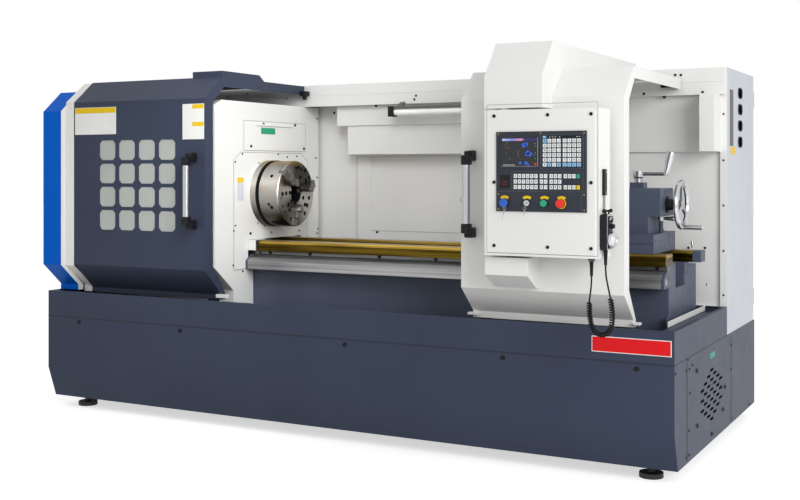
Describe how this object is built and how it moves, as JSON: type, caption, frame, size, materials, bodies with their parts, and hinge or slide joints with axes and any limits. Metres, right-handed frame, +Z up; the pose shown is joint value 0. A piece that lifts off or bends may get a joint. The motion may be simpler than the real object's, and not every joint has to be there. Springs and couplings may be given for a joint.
{
  "type": "turning lathe",
  "caption": "Floor-standing computer-controlled turning lathe with a chuck, a carriage, a tailstock, sliding guard doors and a swinging control box.",
  "frame": {"origin": "on the floor, in the middle of the rectangle that the machine takes up", "axes": "+X along the bed from the headstock to the tailstock, +Y from the operator to the back, +Z up"},
  "size_m": [3.7, 2.014, 1.99],
  "materials": {
    "slate_paint": "satin textured enamel",
    "white_paint": "satin enamel",
    "blue_paint": "gloss enamel",
    "casting_paint": "satin enamel over a casting",
    "bed_casting": "painted casting with hardened, oiled ways",
    "ground_steel": "ground and oiled",
    "stainless_sheet": "brushed sheet",
    "bright_chrome": "polished",
    "black_plastic": "fine texture",
    "key_plastic": "moulded keys",
    "panel_film": "printed film over sheet",
    "cord_rubber": "moulded",
    "window_pane": "frosted sheet",
    "lamp_glass": "frosted tube",
    "blue_cap": "moulded",
    "green_cap": "moulded",
    "red_cap": "moulded",
    "foot_rubber": "moulded"
  },
  "bodies": {
    "frame": {"base_plinth": "slate_paint", "chip_tray": "slate_paint", "vent_panel": "slate_paint", "levelling_feet": "foot_rubber", "blue_end_cover": "blue_paint", "white_end_strip": "white_paint", "left_end_wall": "white_paint", "rear_wall": "white_paint", "top_beam": "white_paint", "rear_duct": "white_paint", "lamp_housing": "black_plastic", "lamp_tube": "lamp_glass", "electrical_cabinet": "white_paint", "lathe_bed": "bed_casting", "chip_guard_plate": "white_paint", "screw_cover": "stainless_sheet", "screw_brackets": "casting_paint", "headstock": "casting_paint", "headstock_guard": "white_paint", "chuck_surround": "white_paint", "headstock_cover": "white_paint"},
    "cabinet_door": {"cabinet_door": "white_paint"},
    "feed_screw": {"feed_screw": "ground_steel"},
    "spindle": {"spindle": "ground_steel", "chuck_body": "ground_steel"},
    "jaw_a": {"chuck_jaw_1": "ground_steel"},
    "jaw_b": {"chuck_jaw_2": "ground_steel"},
    "jaw_c": {"chuck_jaw_3": "ground_steel"},
    "saddle": {"saddle": "casting_paint"},
    "cross_slide": {"cross_slide": "casting_paint"},
    "turret": {"tool_turret": "ground_steel", "turning_tools": "ground_steel"},
    "tailstock": {"tailstock_body": "casting_paint"},
    "quill": {"tailstock_quill": "ground_steel"},
    "handwheel": {"tailstock_handwheel": "bright_chrome"},
    "clamp_lever": {"quill_clamp_lever": "bright_chrome"},
    "bed_lever": {"bed_clamp_lever": "bright_chrome"},
    "left_door": {"left_door": "slate_paint", "left_door_window": "window_pane", "left_handle_bar": "bright_chrome", "left_handle_ends": "black_plastic", "left_door_rollers": "black_plastic"},
    "right_door": {"right_door": "white_paint", "right_handle_bar": "bright_chrome", "right_handle_ends": "black_plastic", "right_door_rollers": "black_plastic", "cable_column": "white_paint", "lower_bracket": "white_paint"},
    "control_box": {"control_box": "white_paint", "control_panel": "panel_film", "panel_keys": "key_plastic", "handset": "black_plastic", "cord_leads": "cord_rubber", "cord_coil": "cord_rubber"},
    "blue_button": {"blue_button": "blue_cap"},
    "green_button": {"green_button": "green_cap"},
    "stop_button": {"stop_button": "red_cap"},
    "key_switch": {"key_switch": "bright_chrome"},
    "handset_dial": {"handset_dial": "bright_chrome"},
    "handset_knob": {"handset_knob": "black_plastic"}
  },
  "joints": [
    {"name": "cabinet_door_hinge", "type": "hinge", "parent": "frame", "child": "cabinet_door", "pos_m": [1.842, 0.999, 1.233], "axis": [0, 0, 1], "range_deg": [-110, 0]},
    {"name": "feed_screw_turn", "type": "hinge", "parent": "frame", "child": "feed_screw", "pos_m": [0, -0.331, 0.86], "axis": [1, 0, 0], "range_deg": [-34205, 1805]},
    {"name": "spindle_turn", "type": "hinge", "parent": "frame", "child": "spindle", "pos_m": [-0.715, -0.135, 1.257], "axis": [1, 0, 0], "continuous": true},
    {"name": "jaw_a_slide", "type": "slide", "parent": "spindle", "child": "jaw_a", "axis": [0, 0.9511, 0.309], "range_m": [-0.05, 0.02]},
    {"name": "jaw_b_slide", "type": "slide", "parent": "spindle", "child": "jaw_b", "axis": [0, -0.7431, 0.6691], "range_m": [-0.05, 0.02]},
    {"name": "jaw_c_slide", "type": "slide", "parent": "spindle", "child": "jaw_c", "axis": [0, -0.2079, -0.9781], "range_m": [-0.05, 0.02]},
    {"name": "saddle_slide", "type": "slide", "parent": "frame", "child": "saddle", "axis": [1, 0, 0], "range_m": [-0.95, 0.05]},
    {"name": "cross_slide_feed", "type": "slide", "parent": "saddle", "child": "cross_slide", "axis": [0, 1, 0], "range_m": [-0.1, 0.2]},
    {"name": "turret_index", "type": "hinge", "parent": "cross_slide", "child": "turret", "pos_m": [0.87, -0.363, 1.165], "axis": [0, 0, 1], "continuous": true},
    {"name": "tailstock_slide", "type": "slide", "parent": "frame", "child": "tailstock", "axis": [1, 0, 0], "range_m": [-0.2, 0]},
    {"name": "quill_slide", "type": "slide", "parent": "tailstock", "child": "quill", "axis": [-1, 0, 0], "range_m": [0, 0.15]},
    {"name": "handwheel_turn", "type": "hinge", "parent": "tailstock", "child": "handwheel", "pos_m": [1.7, -0.135, 1.225], "axis": [-1, 0, 0], "range_deg": [0, 10790]},
    {"name": "clamp_lever_turn", "type": "hinge", "parent": "tailstock", "child": "clamp_lever", "pos_m": [1.507, -0.135, 1.365], "axis": [0, 0, 1], "range_deg": [-60, 30]},
    {"name": "bed_lever_turn", "type": "hinge", "parent": "tailstock", "child": "bed_lever", "pos_m": [1.614, -0.113, 1.155], "axis": [0, 0, 1], "range_deg": [-60, 60]},
    {"name": "left_door_slide", "type": "slide", "parent": "frame", "child": "left_door", "axis": [1, 0, 0], "range_m": [0, 0.75]},
    {"name": "right_door_slide", "type": "slide", "parent": "frame", "child": "right_door", "axis": [1, 0, 0], "range_m": [-0.76, 0.17]},
    {"name": "control_box_swing", "type": "hinge", "parent": "right_door", "child": "control_box", "pos_m": [1.088, -0.848, 1.335], "axis": [0, 0, 1], "range_deg": [-90, 0]},
    {"name": "blue_button_push", "type": "slide", "parent": "control_box", "child": "blue_button", "axis": [0, 1, 0], "range_m": [0, 0.004], "stiffness_N_per_m": 600},
    {"name": "green_button_push", "type": "slide", "parent": "control_box", "child": "green_button", "axis": [0, 1, 0], "range_m": [0, 0.004], "stiffness_N_per_m": 600},
    {"name": "stop_button_push", "type": "slide", "parent": "control_box", "child": "stop_button", "axis": [0, 1, 0], "range_m": [0, 0.004]},
    {"name": "key_switch_turn", "type": "hinge", "parent": "control_box", "child": "key_switch", "pos_m": [1.249, -0.983, 1.248], "axis": [0, -1, 0], "range_deg": [0, 90]},
    {"name": "handset_dial_turn", "type": "hinge", "parent": "control_box", "child": "handset_dial", "pos_m": [1.62, -0.919, 1.093], "axis": [1, 0, 0], "continuous": true},
    {"name": "handset_knob_turn", "type": "hinge", "parent": "control_box", "child": "handset_knob", "pos_m": [1.62, -0.919, 1.151], "axis": [1, 0, 0], "range_deg": [-120, 120]}
  ],
  "couplings": [
    {"joint": "feed_screw_turn", "follows": "saddle_slide", "rad_per_m": 628.32},
    {"joint": "quill_slide", "follows": "handwheel_turn", "m_per_rad": 0.00079577},
    {"joint": "jaw_b_slide", "follows": "jaw_a_slide", "ratio": 1},
    {"joint": "jaw_c_slide", "follows": "jaw_a_slide", "ratio": 1}
  ]
}
